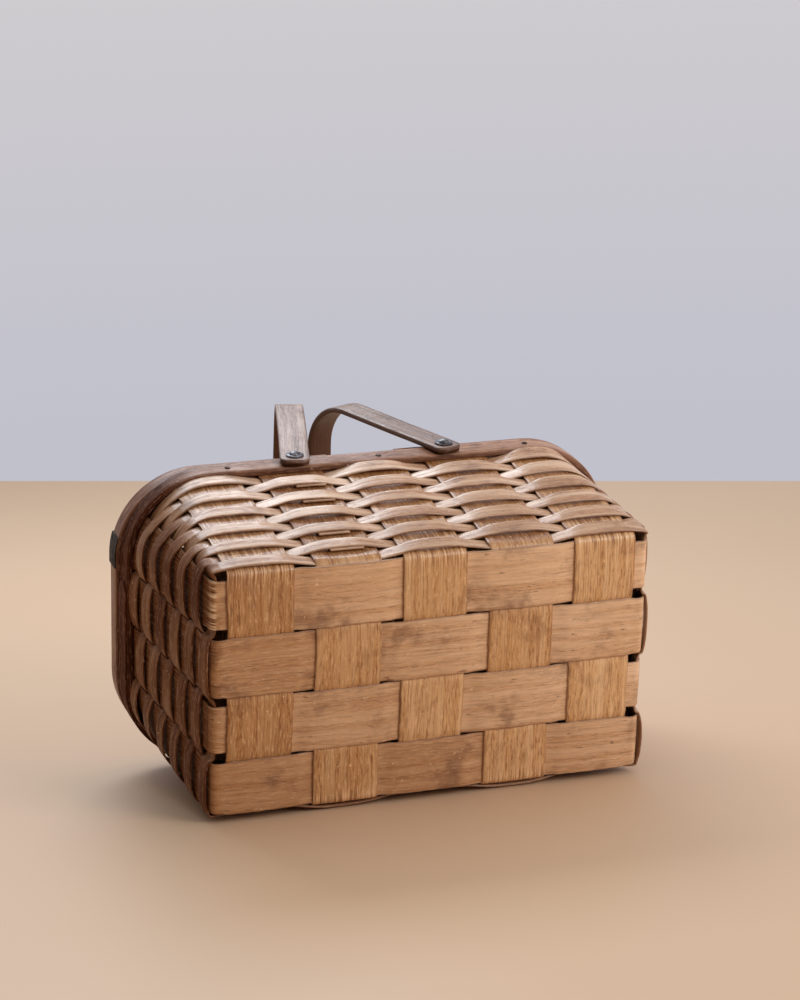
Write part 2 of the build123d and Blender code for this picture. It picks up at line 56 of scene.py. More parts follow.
CROSS_MIDDLES = (-0.1400, -0.0697, 0.0003, 0.0722, 0.1408)
CROSS_WIDTHS = (0.0530, 0.0530, 0.0522, 0.0530, 0.0512)
LONG_EDGES = (-0.1004, -0.0482, 0.0028, 0.0542, 0.1004)
LONG_GAP, LONG_TOP_WIDTH, LONG_TOP_PITCH = 0.0014, 0.042, 0.046
BEND_TOP, BEND_RADIUS = 0.006, 0.0052
ROWS, ROW_ONE, ROW_PITCH = 11, 0.0095, 0.0143
WEAVER, WEAVER_HEIGHT = 0.0014, 0.0128
EDGE_OFFSET, DIP, BULGE_POWER = 0.0017, 1.7, 3.4
CROSS_BULGE, CORNER_BULGE = 0.0021, 0.0034
END_BULGES = (0.0022, 0.0036)
UPPER_BULGES = (
    (0.0016, 0.0026), (0.0026, 0.0036), (0.0024, 0.0042), (0.0020, 0.0046), (0.0014, 0.0046)
)
RIM_LOW, RIM_TOP = 0.159, 0.177
HOOP_OFFSET, OUTER_HOOP, INNER_HOOP = 0.0009, 0.0055, 0.004
LAP_WIDTH, LAP, LAP_ENDS = 0.0140, 0.0018, (-0.036, 0.108)
PIVOT_X, PIVOT_Z = 0.064, 0.168
STRAP_WIDTH, STRAP, STRAP_REACH, STRAP_CORNER, STRAP_TAIL = 0.024, 0.0045, 0.1645, 0.053, 0.012
STRAP_INSIDE, LEFT_LEAN, RIGHT_LEAN = 0.1261, 14.7, 21.6
WASHER, RIVET, SHANK = 0.0013, 0.0044, 0.0024
NAIL_XS, NAIL_YS = (-0.1205, 0.0075, 0.1355), (-0.034, 0.034)
BOARD_WIDTH, BOARD_LENGTH, BOARD_TOP = 0.056, 0.2456, 0.185
FLAP_EDGE, FLAP_END, FLAP_SIDE, FLAP_CORNER = 0.0295, 0.211, 0.12, 0.070
FLAP_LOW, FLAP_TOP, FLAP_HOOP = 0.1773, 0.1953, 0.005
BAR_END, BAR_HALF = 0.052, 0.1149
LEDGE, LEDGE_INSET = 0.003, 0.0066
PANEL_START, PANEL_INSET = 0.044, 0.0052
PANEL_XS, PANEL_X_WIDTH = (0.081, 0.129, 0.177), 0.0455
PANEL_YS, PANEL_Y_WIDTH = (-0.081, -0.027, 0.027, 0.081), 0.0515
SHADED_FROM = -0.172

rng = np.random.default_rng(7)
swing = next(joint for joint in frame["joints"] if joint["name"] == "right_handle_swing")
ALONG = np.array([1.0, 0.0, 0.0])
ACROSS = np.array(swing["axis"], float)
UP = np.cross(ALONG, ACROSS)
ORIGIN = np.array(swing["pos_m"]) - PIVOT_X * ALONG - PIVOT_Z * UP


def placed(points):
    """Points of the standing basket, taken to where it lies."""
    points = np.asarray(points, float)
    return ORIGIN + points[..., :1] * ALONG + points[..., 1:2] * ACROSS + points[..., 2:3] * UP


def between(low, high, share):
    return low + (high - low) * share


def smooth(share):
    share = np.clip(share, 0.0, 1.0)
    return share * share * (3 - 2 * share)


WALL_TOP_LENGTH = RIM_LENGTH / 2 - OUTER_HOOP - HOOP_OFFSET
WALL_TOP_WIDTH = RIM_WIDTH / 2 - OUTER_HOOP - HOOP_OFFSET
WALL_TOP_CORNER = RIM_CORNER - OUTER_HOOP - HOOP_OFFSET
LONG_SLOPE = (WALL_TOP_WIDTH - (BASE_WIDTH - STAKE) / 2) / RIM_TOP
SHORT_SLOPE = (WALL_TOP_LENGTH - (BASE_LENGTH - STAKE) / 2) / RIM_TOP


def half_length(z):
    return between((BASE_LENGTH - STAKE) / 2, WALL_TOP_LENGTH, z / RIM_TOP)


def half_width(z):
    return between((BASE_WIDTH - STAKE) / 2, WALL_TOP_WIDTH, z / RIM_TOP)


def corner(z):
    share = np.maximum(z - BEND_TOP, 0.0) / (RIM_TOP - BEND_TOP)
    return between(BASE_CORNER, WALL_TOP_CORNER, share)


def on_wall(place, side, z, is_long):
    """Points and level outward normals of a long or a short wall's middle surface."""
    radius = corner(z)
    reach, depth = (half_length(z), half_width(z)) if is_long else (half_width(z), half_length(z))
    past = np.minimum(np.maximum(np.abs(place) - (reach - radius), 0.0), radius * 0.999)
    rise = np.sqrt(radius**2 - past**2)
    out = side * (depth - radius + rise)
    lean = np.sign(place) * past / radius
    place, z, out, lean, rise = np.broadcast_arrays(place, z, out, lean, side * rise / radius)
    flat = np.zeros_like(lean)
    if is_long:
        return np.stack([place, out, z], -1), np.stack([lean, rise, flat], -1)
    return np.stack([out, place, z], -1), np.stack([rise, lean, flat], -1)


def cross_x(number):
    return CROSS_MIDDLES[number - 1]


def long_y(number, share=0.0):
    """Middle of a long stake: on the base where the photograph shows it, at the rim as packed."""
    low = (LONG_EDGES[number - 1] + LONG_EDGES[number]) / 2
    return between(low, (number - (LONG_COUNT + 1) / 2) * LONG_TOP_PITCH, share)


def long_width(number, share=0.0):
    low = LONG_EDGES[number] - LONG_EDGES[number - 1] - LONG_GAP
    return between(low, LONG_TOP_WIDTH, share)


def drift(along, length, size, closed=False):
    """A slow, smooth wander along a strip: a few waves of random phase."""
    total = np.zeros_like(along)
    span = along[-1] - along[0]
    for step in (1.0, 2.3, 4.1):
        waves = max(1.0, span * step / length)
        waves = round(waves) if closed else waves
        phase = 2 * math.pi * waves * (along - along[0]) / span
        total += np.sin(phase + rng.uniform(0, 6.3)) / step
    return size * total / 1.6


def section(width, thickness, rounding, across=8, steps=2):
    """A strip's closed outline: places across it and out of it, the outer face first."""
    half, depth = width / 2 - rounding, thickness / 2 - rounding
    v = list(np.linspace(-half, half, across + 1))
    h = [thickness / 2] * (across + 1)
    for k in range(1, 2 * steps + 1):
        angle = math.pi / 2 - k * math.pi / (2 * steps)
        v.append(half + rounding * math.cos(angle))
        h.append((depth if angle > -1e-6 else -depth) + rounding * math.sin(angle))
    back = across // 2
    v += list(np.linspace(half, -half, back + 1)[1:])
    h += [-thickness / 2] * back
    for k in range(1, 2 * steps):
        angle = -math.pi / 2 - k * math.pi / (2 * steps)
        v.append(-half + rounding * math.cos(angle))
        h.append((-depth if angle > -math.pi - 1e-6 else depth) + rounding * math.sin(angle))
    return np.array(v), np.array(h)


def linked(name, data):
    """An object in the scene for a mesh, a light or a camera."""
    made = bpy.data.objects.new(name, data)
    bpy.context.scene.collection.objects.link(made)
    return made


def face_out(mesh):
    """Turns a closed mesh's faces outward."""
    solid = bmesh.new()
    solid.from_mesh(mesh)
    if solid.calc_volume(signed=True) < 0:
        mesh.flip_normals()
    solid.free()


def skin(name, points, uv, closed=False, tone=0.0, edge=0.0, inner=0.0, pleat_and_sheen=0.0):
    """A mesh object from rings of points, with fibre coordinates, tint and painted light and shade
    for the wood.
    """
    rings, count = points.shape[:2]
    mesh = bpy.data.meshes.new(name)
    flat = placed(points).reshape(-1, 3)
    last = rings if closed else rings - 1
    i, j = np.divmod(np.arange(last * count), count)
    i2, j2 = (i + 1) % rings, (j + 1) % count
    quads = np.stack([i * count + j, i2 * count + j, i2 * count + j2, i * count + j2], -1)
    quad_uv = np.stack([uv[i, j], uv[i + 1, j], uv[i + 1, j + 1], uv[i, j + 1]], 1)
    loops = [quads.ravel()]
    loop_uv = [quad_uv.reshape(-1, 2)]
    sizes = [4] * len(quads)
    if not closed:
        for ring, order in ((0, np.arange(count)), (rings - 1, np.arange(count)[::-1])):
            loops.append(ring * count + order)
            # The ends, too, get some area in the fibre coordinates
            spread = np.stack([points[ring, order, 2] * 0.05, 0 * order], -1)
            loop_uv.append(uv[ring, order] + spread)
            sizes.append(count)
    loops = np.concatenate(loops).astype(np.int32)
    starts = np.concatenate([[0], np.cumsum(sizes)[:-1]]).astype(np.int32)
    mesh.vertices.add(len(flat))
    mesh.vertices.foreach_set("co", flat.astype(np.float32).ravel())
    mesh.loops.add(len(loops))
    mesh.loops.foreach_set("vertex_index", loops)
    mesh.polygons.add(len(sizes))
    mesh.polygons.foreach_set("loop_start", starts)
    mesh.update(calc_edges=True)
    layer = mesh.uv_layers.new(name="UVMap")
    layer.data.foreach_set("uv", np.concatenate(loop_uv).astype(np.float32).ravel())
    for label, values in (("tone", tone), ("edge", edge), ("inner", inner), ("pleat_and_sheen", pleat_and_sheen)):
        values = np.broadcast_to(np.asarray(values, np.float32), points.shape[:2])
        mesh.attributes.new(label, "FLOAT", "POINT").data.foreach_set("value", values.ravel())
    mesh.polygons.foreach_set("use_smooth", np.ones(len(sizes), bool))
    mesh.validate()
    mesh.update()
    face_out(mesh)
    return linked(name, mesh)


def outline_uv(along, v, h, closed=False):
    """Fibre coordinates: along the strip, and round its outline."""
    round_v = np.concatenate([v, v[:1]])
    round_h = np.concatenate([h, h[:1]])
    turn = np.concatenate([[0], np.cumsum(np.hypot(np.diff(round_v), np.diff(round_h)))])
    if closed:
        along = np.concatenate([along, [2 * along[-1] - along[-2]]])
    uv = np.zeros((len(along), len(turn), 2))
    uv[..., 0] = along[:, None] + rng.uniform(0, 9)
    uv[..., 1] = turn[None, :] + rng.uniform(0, 9)
    return uv


def edge_share(v, width, power=4):
    """How near the edge each place across a strip is: 0 in the middle, 1 at the edge."""
    return np.abs(2 * v / width)[None, :] ** power


def length_along(points):
    return np.concatenate([[0], np.cumsum(np.linalg.norm(np.diff(points, axis=0), axis=1))])


def path_normals(path):
    """Outward normals of a path in its own plane."""
    tangent = np.gradient(path, axis=0)
    tangent /= np.linalg.norm(tangent, axis=1)[:, None]
    return np.stack([tangent[:, 1], -tangent[:, 0]], -1)


def ring_normals(line):
    """Level outward normals of a closed line."""
    ahead = np.roll(line, -1, axis=0) - np.roll(line, 1, axis=0)
    normal = np.stack([ahead[:, 1], -ahead[:, 0], np.zeros(len(ahead))], -1)
    return normal / np.linalg.norm(normal, axis=1)[:, None]


def arc(x, y, radius, start, end, steps):
    """Points on a circle round (x, y), from one angle to another in degrees."""
    angles = np.radians(np.linspace(start, end, steps))
    return [(x + radius * math.cos(a), y + radius * math.sin(a)) for a in angles]


def dress(piece, body, slot, material, *nodes, shaded=None):
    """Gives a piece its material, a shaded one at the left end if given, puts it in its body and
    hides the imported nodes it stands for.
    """
    mesh = piece.data
    mesh.materials.append(material)
    if shaded:
        centres = np.zeros(len(mesh.polygons) * 3)
        mesh.polygons.foreach_get("center", centres)
        left = centres[::3] - ORIGIN[0] < SHADED_FROM
        mesh.materials.append(shaded)
        mesh.polygons.foreach_set("material_index", left.astype(np.int32))
    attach(piece, body)
    if nodes:
        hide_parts(*nodes)


# Materials


class Shader:
    """The node tree of a material or a world, with short calls for the nodes used here."""

    def __init__(self, owner):
        owner.use_nodes = True
        self.owner = owner
        self.tree = owner.node_tree
        self.surface = self.tree.nodes.get("Principled BSDF")

    def add(self, kind, sockets, **settings):
        made = self.tree.nodes.new("ShaderNode" + kind)
        for key, value in settings.items():
            setattr(made, key, value)
        for key, value in sockets.items():
            self.put(made.inputs[key], value)
        return made

    def put(self, socket, value):
        if isinstance(value, bpy.types.NodeSocket):
            self.tree.links.new(value, socket)
        else:
            socket.default_value = value

    def stretched(self, vector, scale, move=(0, 0, 0)):
        return self.add("Mapping", {"Vector": vector, "Scale": scale, "Location": move}).outputs[0]

    def noise(self, vector, scale=1.0, detail=2.0, rough=0.5):
        sockets = {"Vector": vector, "Scale": scale, "Detail": detail, "Roughness": rough}
        return self.add("TexNoise", sockets).outputs[0]

    def ramp(self, value, low, high, to_low=0.0, to_high=1.0):
        sockets = {0: value, 1: low, 2: high, 3: to_low, 4: to_high}
        return self.add("MapRange", sockets, interpolation_type="SMOOTHSTEP").outputs[0]

    def math(self, operation, first, second=0.0):
        return self.add("Math", {0: first, 1: second}, operation=operation).outputs[0]

    def times(self, first, second):
        return self.math("MULTIPLY", first, second)

    def plus(self, first, second):
        return self.math("ADD", first, second)

    def mix(self, share, first, second, blend="MIX"):
        sockets = {0: share, 6: first, 7: second}
        return self.add("Mix", sockets, data_type="RGBA", blend_type=blend).outputs[2]

    def attribute(self, name):
        return self.add("Attribute", {}, attribute_name=name).outputs["Fac"]

    def finish(self, color, roughness, height, distance, strength):
        bump = self.add("Bump", {"Strength": strength, "Distance": distance, "Height": height})
        self.put(self.surface.inputs["Base Color"], color)
        self.put(self.surface.inputs["Roughness"], roughness)
        self.put(self.surface.inputs["Normal"], bump.outputs[0])
        return self.owner


def rgba(red, green, blue):
    """A colour as it looks on a screen, 0 to 255, taken to the renderer's linear values."""
    values = []
    for value in (red, green, blue):
        value = value / 255
        values.append(value / 12.92 if value <= 0.04045 else ((value + 0.055) / 1.055) ** 2.4)
    return (*values, 1.0)


def wood(name, colors, grain, pores, worn, stain, gloss, level=0.5, inside=None):
    """Old varnished wood: fibres, pores, slow colour bands, stains and worn, paler places, and the
    painted light, shade and highlight that the pieces carry in their attributes.
    """
    light, middle, dark = (rgba(*color) for color in colors)
    s = Shader(bpy.data.materials.new(name))
    fibre = s.add("UVMap", {}).outputs[0]
    room = s.add("TexCoord", {}).outputs["Object"]
    # Patterns, each stretched by a scale along and a scale across the fibres
    wander = s.noise(s.stretched(fibre, (14, 60, 1)), detail=1.0)
    sway = {0: wander, 1: (0, 0.0025, 0), 2: fibre}
    bent = s.add("VectorMath", sway, operation="MULTIPLY_ADD").outputs[0]
    hairs = s.noise(s.stretched(bent, (30, 800, 1)), detail=4.0, rough=0.65)
    bands = s.noise(s.stretched(bent, (5, 170, 1), (3, 7, 0)), detail=2.0)
    slow = s.noise(s.stretched(fibre, (7, 22, 1), (9, 2, 0)), detail=2.0)
    flecks = s.noise(s.stretched(bent, (110, 640, 1), (5, 5, 0)), detail=2.0, rough=0.6)
    dashes = s.times(s.ramp(flecks, 0.55, 0.63), s.ramp(bands, 0.34, 0.60))
    glints = s.ramp(flecks, 0.36, 0.43, 0.30, 0.0)
    dirt = s.noise(room, scale=26.0, detail=4.0, rough=0.6)
    smear = s.noise(s.stretched(fibre, (48, 150, 1), (2, 1, 0)), detail=4.0, rough=0.7)
    specks = s.noise(room, scale=310.0, detail=1.0)
    rub = s.noise(s.stretched(fibre, (22, 420, 1), (1, 4, 0)), detail=4.0, rough=0.7)
    ridges = s.noise(s.stretched(fibre, (12, 560, 1), (6, 1, 0)), detail=2.0)
    edge = s.attribute("edge")
    tone = s.attribute("tone")
    pleat_and_sheen = s.attribute("pleat_and_sheen")
    color = s.mix(s.ramp(bands, 0.32, 0.68), light, middle)
    color = s.mix(s.times(s.ramp(hairs, 0.42, 0.66), 0.45 * grain), color, dark)
    color = s.mix(s.times(dashes, 0.42 * pores), color, dark)
    color = s.mix(s.times(s.ramp(slow, 0.5, 0.75), 0.4), color, middle)
    # The tone attribute holds each piece's own tone and also painted light and shade: below 0 the
    # wood is darker and more saturated, painted shade, above 0 lighter and paler, painted light and
    # sheen
    shade = s.add("MapRange", {0: tone, 1: -2.0, 2: 1.0, 3: 0.25, 4: 1.35}).outputs[0]
    deeper = {0: shade, 1: s.math("POWER", shade, 1.45), 2: s.math("POWER", shade, 2.0)}
    color = s.mix(1.0, color, s.add("CombineColor", deeper).outputs[0], "MULTIPLY")
    color = s.mix(s.times(s.ramp(dirt, 0.52, 0.72), stain), color, dark)
    color = s.mix(s.times(s.ramp(smear, 0.62, 0.70), 1.1 * stain), color, dark)
    color = s.mix(s.times(s.ramp(edge, 0.80, 1.0), 0.5), color, dark)
    pale = tuple(min(1.0, 1.25 * value + 0.10) for value in light[:3]) + (1.0,)
    scuff = s.times(s.ramp(rub, 0.58, 0.70), s.ramp(edge, 0.0, 1.0, 0.55 * worn, 1.3 * worn))
    color = s.mix(s.math("MAXIMUM", scuff, s.times(glints, pores)), color, pale)
    color = s.mix(s.ramp(specks, 0.76, 0.80, 0.0, 0.7), color, pale)
    # Ridges where the pleat marks lie: pale crests, painted highlight, and dark furrows, painted
    # shade
    color = s.mix(s.times(s.ramp(ridges, 0.50, 0.60, 0.0, 0.55), pleat_and_sheen), color, pale)
    color = s.mix(s.times(s.ramp(ridges, 0.36, 0.48, 0.5, 0.0), pleat_and_sheen), color, dark)
    if inside:
        color = s.mix(s.ramp(s.attribute("inner"), 0.4, 0.6), color, rgba(*inside))
    sheen = s.plus(s.ramp(hairs, 0.35, 0.75, gloss - 0.08, gloss + 0.12), s.times(scuff, 0.25))
    sheen = s.plus(sheen, s.ramp(dirt, 0.4, 0.7, -0.04, 0.10))
    sheen = s.plus(sheen, s.ramp(tone, -2.0, -0.6, 0.28, 0.0))
    height = s.math("SUBTRACT", s.times(hairs, 0.6), s.times(dashes, 0.8))
    height = s.plus(height, s.times(bands, 0.8))
    height = s.plus(height, s.times(s.times(ridges, pleat_and_sheen), 3.0))
    s.surface.inputs["Specular IOR Level"].default_value = level
    return s.finish(color, sheen, height, 0.00022, 0.8)


def metal(name, colors, rusty, gloss):
    """Worn metal: fine scratches, dull patches and a little rust."""
    bright, dull, rust = (rgba(*color) for color in colors)
    s = Shader(bpy.data.materials.new(name))
    room = s.add("TexCoord", {}).outputs["Object"]
    patch = s.noise(room, scale=220.0, detail=4.0, rough=0.65)
    fine = s.noise(room, scale=1400.0, detail=3.0, rough=0.6)
    spot = s.noise(s.stretched(room, (1, 1, 1), (4, 4, 4)), scale=420.0, detail=3.0)
    color = s.mix(s.ramp(patch, 0.35, 0.65), bright, dull)
    color = s.mix(s.times(s.ramp(spot, 0.5, 0.68), rusty), color, rust)
    rough = s.ramp(patch, 0.3, 0.7, gloss, gloss + 0.25)
    rough = s.plus(rough, s.ramp(fine, 0.3, 0.7, -0.05, 0.08))
    s.surface.inputs["Metallic"].default_value = 0.85
    return s.finish(color, rough, s.plus(patch, s.times(fine, 0.4)), 0.0002, 0.6)


def shaded_copy(material, name):
    """A copy of a wood that hardly reflects, for the left end, which lies in the shade."""
    made = material.copy()
    made.name = name
    made.node_tree.nodes["Principled BSDF"].inputs["Specular IOR Level"].default_value = 0.1
    return made


# Each wood has a light, a middle and a dark colour, each metal a bright, a dull and a rust one
dark_splint = wood(
    "dark_splint",
    ((224, 176, 126), (204, 148, 94), (116, 60, 26)),
    grain=1.0, pores=1.2, worn=0.22, stain=0.35, gloss=0.32,
)
base_splint = wood(
    "base_splint",
    ((232, 188, 148), (214, 164, 120), (108, 64, 42)),
    grain=0.6, pores=0.6, worn=0.3, stain=0.6, gloss=0.36,
)
weaver_splint = wood(
    "weaver_splint",
    ((216, 176, 142), (184, 134, 98), (92, 50, 30)),
    grain=0.8, pores=0.7, worn=0.35, stain=0.45, gloss=0.30, level=0.45,
)
bent_wood = wood(
    "bent_wood",
    ((180, 132, 102), (144, 96, 70), (70, 36, 22)),
    grain=0.9, pores=0.9, worn=0.35, stain=0.5, gloss=0.42, level=0.25,
)
strap_wood = wood(
    "strap_wood",
    ((158, 124, 106), (126, 92, 76), (62, 42, 30)),
    grain=0.8, pores=1.0, worn=0.3, stain=0.5, gloss=0.42, inside=(84, 50, 32),
)
board_wood = wood(
    "board_wood",
    ((184, 134, 92), (152, 102, 64), (84, 50, 28)),
    grain=0.8, pores=1.0, worn=0.25, stain=0.5, gloss=0.4,
)
bent_shaded = shaded_copy(bent_wood, "bent_shaded")
weaver_shaded = shaded_copy(weaver_splint, "weaver_shaded")
base_shaded = shaded_copy(base_splint, "base_shaded")
iron = metal("iron", ((96, 84, 76), (52, 42, 36), (80, 44, 24)), rusty=0.6, gloss=0.45)
steel = metal("steel", ((132, 132, 136), (72, 70, 74), (84, 56, 40)), rusty=0.4, gloss=0.34)
tin = metal("tin", ((62, 54, 44), (36, 30, 24), (58, 38, 24)), rusty=0.5, gloss=0.5)


# Splints of the base and walls


def weave_levels(crossings, levels, slope, at, bow):
    """Height of a woven strip: smooth steps in the gaps, and a slight bow at the low crossings."""
    height = np.full_like(at, levels[0])
    for k in range(1, len(crossings)):
        gap = (crossings[k - 1] + crossings[k]) / 2
        height += (levels[k] - levels[k - 1]) * smooth((at - gap) / slope + 0.5)
    pitch = crossings[1] - crossings[0]
    for middle, level in zip(crossings, levels):
        if level == min(levels):
            near = np.clip(1 - (2 * (at - middle) / pitch) ** 2, 0.0, 1.0)
            height -= bow * near
    return height


def stake_profile(crossings, levels, slope, half_span, bow, step=0.0022):
    """A stake's path out and up: the wall, the bend, the woven base, the bend and the wall."""
    top = np.array([half_span(RIM_TOP), RIM_TOP])
    wall = top - np.array([half_span(0.0), 0.0])
    wall /= np.linalg.norm(wall)
    turn = math.pi / 2 + math.atan2(wall[0], wall[1])
    start = BEND_RADIUS / math.tan(turn / 2)

    def upward(level):
        foot = np.array([half_span(level), level])
        run = [
            (foot[0] - start + BEND_RADIUS * math.sin(a), level + BEND_RADIUS * (1 - math.cos(a)))
            for a in np.linspace(0, math.pi - turn, 7)[1:-1]
        ]
        rise = np.linalg.norm(top - foot)
        run += [tuple(foot + wall * d) for d in np.linspace(start, rise, int(rise / step))]
        return foot[0] - start, np.array(run)

    left_inner, left = upward(levels[0])
    right_inner, right = upward(levels[-1])
    at = np.linspace(-left_inner, right_inner, int((left_inner + right_inner) / (step * 0.7)))
    fade = smooth((min(left_inner, right_inner) - np.abs(at)) / 0.012)
    low = weave_levels(crossings, levels, slope, at, 0.0)
    bowed = weave_levels(crossings, levels, slope, at, bow)
    base = np.stack([at, between(low, bowed, fade)], -1)
    path = np.concatenate([left[::-1] * np.array([-1, 1]), base, right])
    bend = 5
    kind = np.zeros(len(path), int)
    kind[: len(left) - bend] = -1
    kind[len(path) - len(right) + bend :] = 1
    return path, path_normals(path), kind


def stake_piece(name, is_cross, number, tone):
    """One splint of the base, which turns up two walls and is clamped by the rim."""
    count = LONG_COUNT if is_cross else CROSS_COUNT
    levels = []
    for other in range(1, count + 1):
        outside = ((number + other) % 2 == 0) == is_cross
        levels.append(STAKE_LOW if outside else STAKE_HIGH)
    if is_cross:
        middle_of, slope, span, bow = long_y, 0.008, half_width, 0.0004
    else:
        middle_of, slope, span, bow = cross_x, 0.015, half_length, 0.0006
    crossings = [middle_of(n) for n in range(1, count + 1)]
    path, normal, kind = stake_profile(crossings, levels, slope, span, bow)
    along = length_along(path)
    width = CROSS_WIDTHS[number - 1] if is_cross else long_width(number)
    v, h = section(width, STAKE, 0.0005, 14)
    share = np.clip((path[:, 1] - BEND_TOP) / (RIM_TOP - BEND_TOP), 0, 1)
    loose = 0.0007 if is_cross else 0.0004
    shift = drift(along, 0.16, loose)
    narrow = 1 + drift(along, 0.09, 0.010)
    fray_left = drift(along, 0.012, 0.00018)
    fray_right = drift(along, 0.014, 0.00018)
    wide = v[None, :] * narrow[:, None]
    if not is_cross:
        # Narrower beside the last crossings, so that the gaps at the corners stay open
        pinch, start = (0.22, 0.153) if number % 2 else (0.05, 0.162)
        waist = 1 - pinch * smooth((np.abs(path[:, 0]) - start) / 0.010) * (1 - smooth(share * 3))
        wide = wide * (waist * long_width(number, share) / width)[:, None]
    ragged = np.where(v[None, :] > 0, fray_left[:, None], fray_right[:, None])
    wide = wide + shift[:, None] + ragged * edge_share(v, width)
    cup = STAKE_CUP * edge_share(v, width, 2)
    lift = h[None, :] - cup * np.where(kind == 0, 1, -0.6)[:, None]
    middle = cross_x(number) if is_cross else long_y(number, share)
    place = np.asarray(middle).reshape(-1, 1) + wide
    points = np.zeros(place.shape + (3,))
    base = kind == 0
    for ring in np.nonzero(base)[0]:
        p, n = path[ring], normal[ring]
        out = p[0] + n[0] * lift[ring]
        up = p[1] + n[1] * lift[ring]
        points[ring] = np.stack([place[ring], out, up] if is_cross else [out, place[ring], up], -1)
    slant = LONG_SLOPE if is_cross else SHORT_SLOPE
    for side in (-1, 1):
        rows = np.nonzero(kind == side)[0]
        p, n = on_wall(place[rows], side, path[rows, 1][:, None], is_cross)
        n = n - np.array([0, 0, slant])
        n /= np.linalg.norm(n, axis=-1)[..., None]
        points[rows] = p + n * lift[rows][..., None]
    # The stakes are darker where they stand in the walls between the weavers: painted shade
    on_base = smooth(1.2 - path[:, 1] / 0.010)
    darker = 0.6 if number == 1 and is_cross else 1.3
    shade = tone + 0.2 * drift(along, 0.3, 1.0) - darker * (1 - on_base)
    if is_cross:
        # Creases where the splint bends up round the outside of the last crossing, their ridges
        # bumped, with pale crests as painted highlight and dark furrows as painted shade. On the
        # walls the same ridges, fainter, are painted sheen
        bent_over = (path[:, 0] < 0) if number % 2 else (path[:, 0] > 0)
        pleat_and_sheen = 1.1 * np.exp(-(((np.abs(path[:, 0]) - 0.099) / 0.009) ** 2)) * bent_over
        pleat_and_sheen = np.maximum(pleat_and_sheen, (0.6 if number == 1 else 0.15) * (1 - on_base))
    else:
        # Lighter towards the right of the base, painted light, and darker on the wall of the left
        # end, painted shade
        shade += 2.8 * path[:, 0] * on_base - 1.2 * (1 - on_base) * (path[:, 0] < 0)
        pleat_and_sheen = 0.12 * (1 - on_base)
        if number == 1:
            # The torn left end of the uppermost splint
            pleat_and_sheen = np.maximum(pleat_and_sheen, 2.2 * np.exp(-(((path[:, 0] + 0.1765) / 0.0016) ** 2)))
    uv, edge = outline_uv(along, v, h), edge_share(v, width, 3)
    return skin(name, points, uv, tone=shade[:, None], edge=edge, pleat_and_sheen=pleat_and_sheen[:, None])


# Each cross stake's own tone, rising from left to right: painted light and sheen from the right
cross_tones_and_light = (-0.45, 0.0, 0.35, 0.3, 0.6)
for number in range(1, CROSS_COUNT + 1):
    node = f"cross_stake_{number}"
    piece = stake_piece(node + "_splint", True, number, cross_tones_and_light[number - 1])
    dress(piece, "basket", "dark_splint", dark_splint, node)
# Each long stake's own tone, the fourth darker: painted shade
long_tones_and_shade = (0.1, -0.05, 0.0, -0.45)
for number in range(1, LONG_COUNT + 1):
    node = f"long_stake_{number}"
    piece = stake_piece(node + "_splint", False, number, long_tones_and_shade[number - 1])
    dress(piece, "basket", "base_splint", base_splint, node, shaded=base_shaded)


# Weavers


def blurred(values):
    """Values round a closed line, each averaged with its neighbours."""
    kernel = np.exp(-0.5 * np.arange(-3, 4) ** 2)
    kernel /= kernel.sum()
    padded = np.concatenate([values[-3:], values, values[:3]])
    columns = [np.convolve(padded[:, k], kernel, "valid") for k in range(values.shape[1])]
    return np.stack(columns, -1)


def weaver_line(row, z, bulges, over=14, gap=6):
    """The middle line of a weaver at height z, outside and inside the stakes in turn."""
    share = (z - BEND_TOP) / (RIM_TOP - BEND_TOP)
    stops = []
    for side in (-1, 1):
        for n in range(1, CROSS_COUNT + 1)[:: -side]:
            stops.append((True, side, cross_x(n), CROSS_WIDTHS[n - 1] / 2, -side))
        for n in range(1, LONG_COUNT + 1)[:: -side]:
            stops.append((False, -side, long_y(n, share), long_width(n, share) / 2, -side))
    arcs, normals = [], []
    for index, (is_long, side, middle, half, direction) in enumerate(stops):
        t = np.linspace(-1, 1, over)
        out = 1 if (index + row) % 2 == 1 else -1
        offset = out * (EDGE_OFFSET + bulges[index] * (1 - np.abs(t) ** BULGE_POWER))
        point, normal = on_wall(middle + direction * t * half, side, z, is_long)
        arcs.append(point + normal * offset[:, None])
        normals.append(normal)
    line = []
    corners = {
        CROSS_COUNT - 1: (1, -1),
        HALF_ROUND - 1: (1, 1),
        HALF_ROUND + CROSS_COUNT - 1: (-1, 1),
        2 * HALF_ROUND - 1: (-1, -1),
    }
    for index, passed in enumerate(arcs):
        coming = arcs[(index + 1) % len(arcs)]
        line.append(passed)
        t = np.linspace(0, 1, gap + 2)[1:-1, None]
        if index in corners:
            sx, sy = corners[index]
            radius = corner(z)
            normal = normals[index][-1] + normals[(index + 1) % len(arcs)][0]
            normal /= np.linalg.norm(normal)
            centre = np.array([sx * (half_length(z) - radius), sy * (half_width(z) - radius), z])
            middle = centre + normal * radius
            pull = 2 * middle - (passed[-1] + coming[0]) / 2
            line.append((1 - t) ** 2 * passed[-1] + 2 * t * (1 - t) * pull + t**2 * coming[0])
        elif (index + row) % 2 == 1:
            line.append(between(passed[-1], coming[0], t**DIP))
        else:
            line.append(between(passed[-1], coming[0], 1 - (1 - t) ** DIP))
    return np.concatenate(line)


